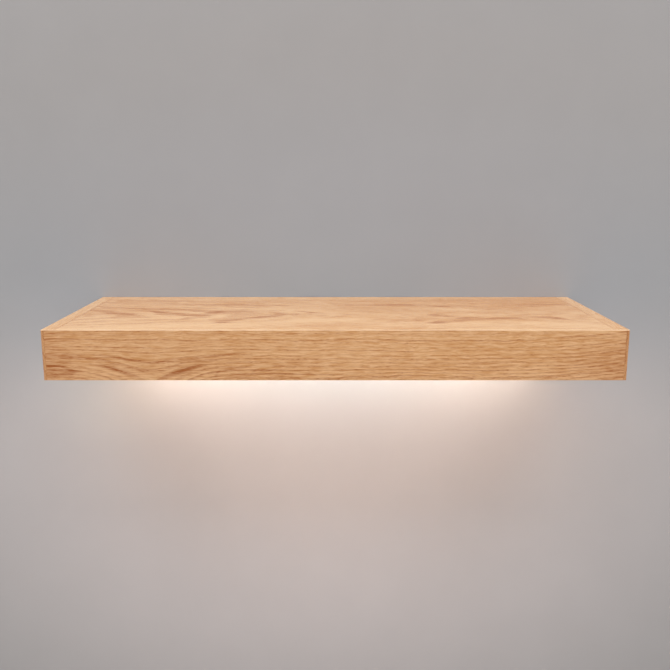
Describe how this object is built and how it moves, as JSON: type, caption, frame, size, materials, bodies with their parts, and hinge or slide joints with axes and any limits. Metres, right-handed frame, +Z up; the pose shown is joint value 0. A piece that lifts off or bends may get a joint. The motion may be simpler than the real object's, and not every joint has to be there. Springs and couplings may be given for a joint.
{
  "type": "floating wall shelf",
  "caption": "Thick hollow oak wall shelf that slides onto hidden steel rods on a wall plate, with a recessed line light in its underside that washes the wall.",
  "frame": {"origin": "middle of the wall plate's back face, on the wall", "axes": "+X along the shelf, to the right as seen from the room; +Y into the wall; +Z up"},
  "size_m": [0.6, 0.22, 0.053],
  "materials": {
    "oak_boards": "clear matt oil on planed oak",
    "oak_ends": "clear matt oil on planed oak",
    "core_wood": "sawn and planed softwood, bare",
    "dowel_wood": "fluted beech, bare",
    "black_steel": "fine black powder coat",
    "zinc_steel": "bright zinc plate",
    "brass": "turned",
    "aluminium": "satin anodised extrusion",
    "opal_cover": "opal, lit from behind",
    "white_board": "white solder mask",
    "grey_plastic": "moulded",
    "black_plastic": "moulded",
    "lead_sleeve": "smooth sleeve"
  },
  "bodies": {
    "bracket": {"rod_left": "zinc_steel", "rod_right": "zinc_steel", "rod_screw_left": "zinc_steel", "rod_screw_right": "zinc_steel", "wall_plate": "black_steel"},
    "shelf": {"bottom_board": "oak_boards", "dowel_left_bottom_back": "dowel_wood", "dowel_left_bottom_front": "dowel_wood", "dowel_left_rail": "dowel_wood", "dowel_left_top_back": "dowel_wood", "dowel_left_top_front": "dowel_wood", "dowel_right_bottom_back": "dowel_wood", "dowel_right_bottom_front": "dowel_wood", "dowel_right_rail": "dowel_wood", "dowel_right_top_back": "dowel_wood", "dowel_right_top_front": "dowel_wood", "end_board_left": "oak_ends", "end_board_right": "oak_ends", "front_board": "oak_boards", "inlet_nut": "zinc_steel", "insert_left": "brass", "insert_right": "brass", "lead_clip_inner": "black_plastic", "lead_clip_outer": "black_plastic", "light_cap_left": "grey_plastic", "light_cap_right": "grey_plastic", "light_channel": "aluminium", "light_cover": "opal_cover", "light_lead": "lead_sleeve", "light_strip": "white_board", "lock_screw_left": "zinc_steel", "lock_screw_right": "zinc_steel", "middle_rib": "core_wood", "power_inlet": "black_plastic", "rail_screw_left_inner": "zinc_steel", "rail_screw_left_outer": "zinc_steel", "rail_screw_middle": "zinc_steel", "rail_screw_right_inner": "zinc_steel", "rail_screw_right_outer": "zinc_steel", "rear_rail": "core_wood", "rod_block_left": "core_wood", "rod_block_right": "core_wood", "top_board": "oak_boards"}
  },
  "joints": [
    {"name": "shelf_slide", "type": "slide", "parent": "bracket", "child": "shelf", "axis": [0, -1, 0], "range_m": [0, 0.15]}
  ]
}
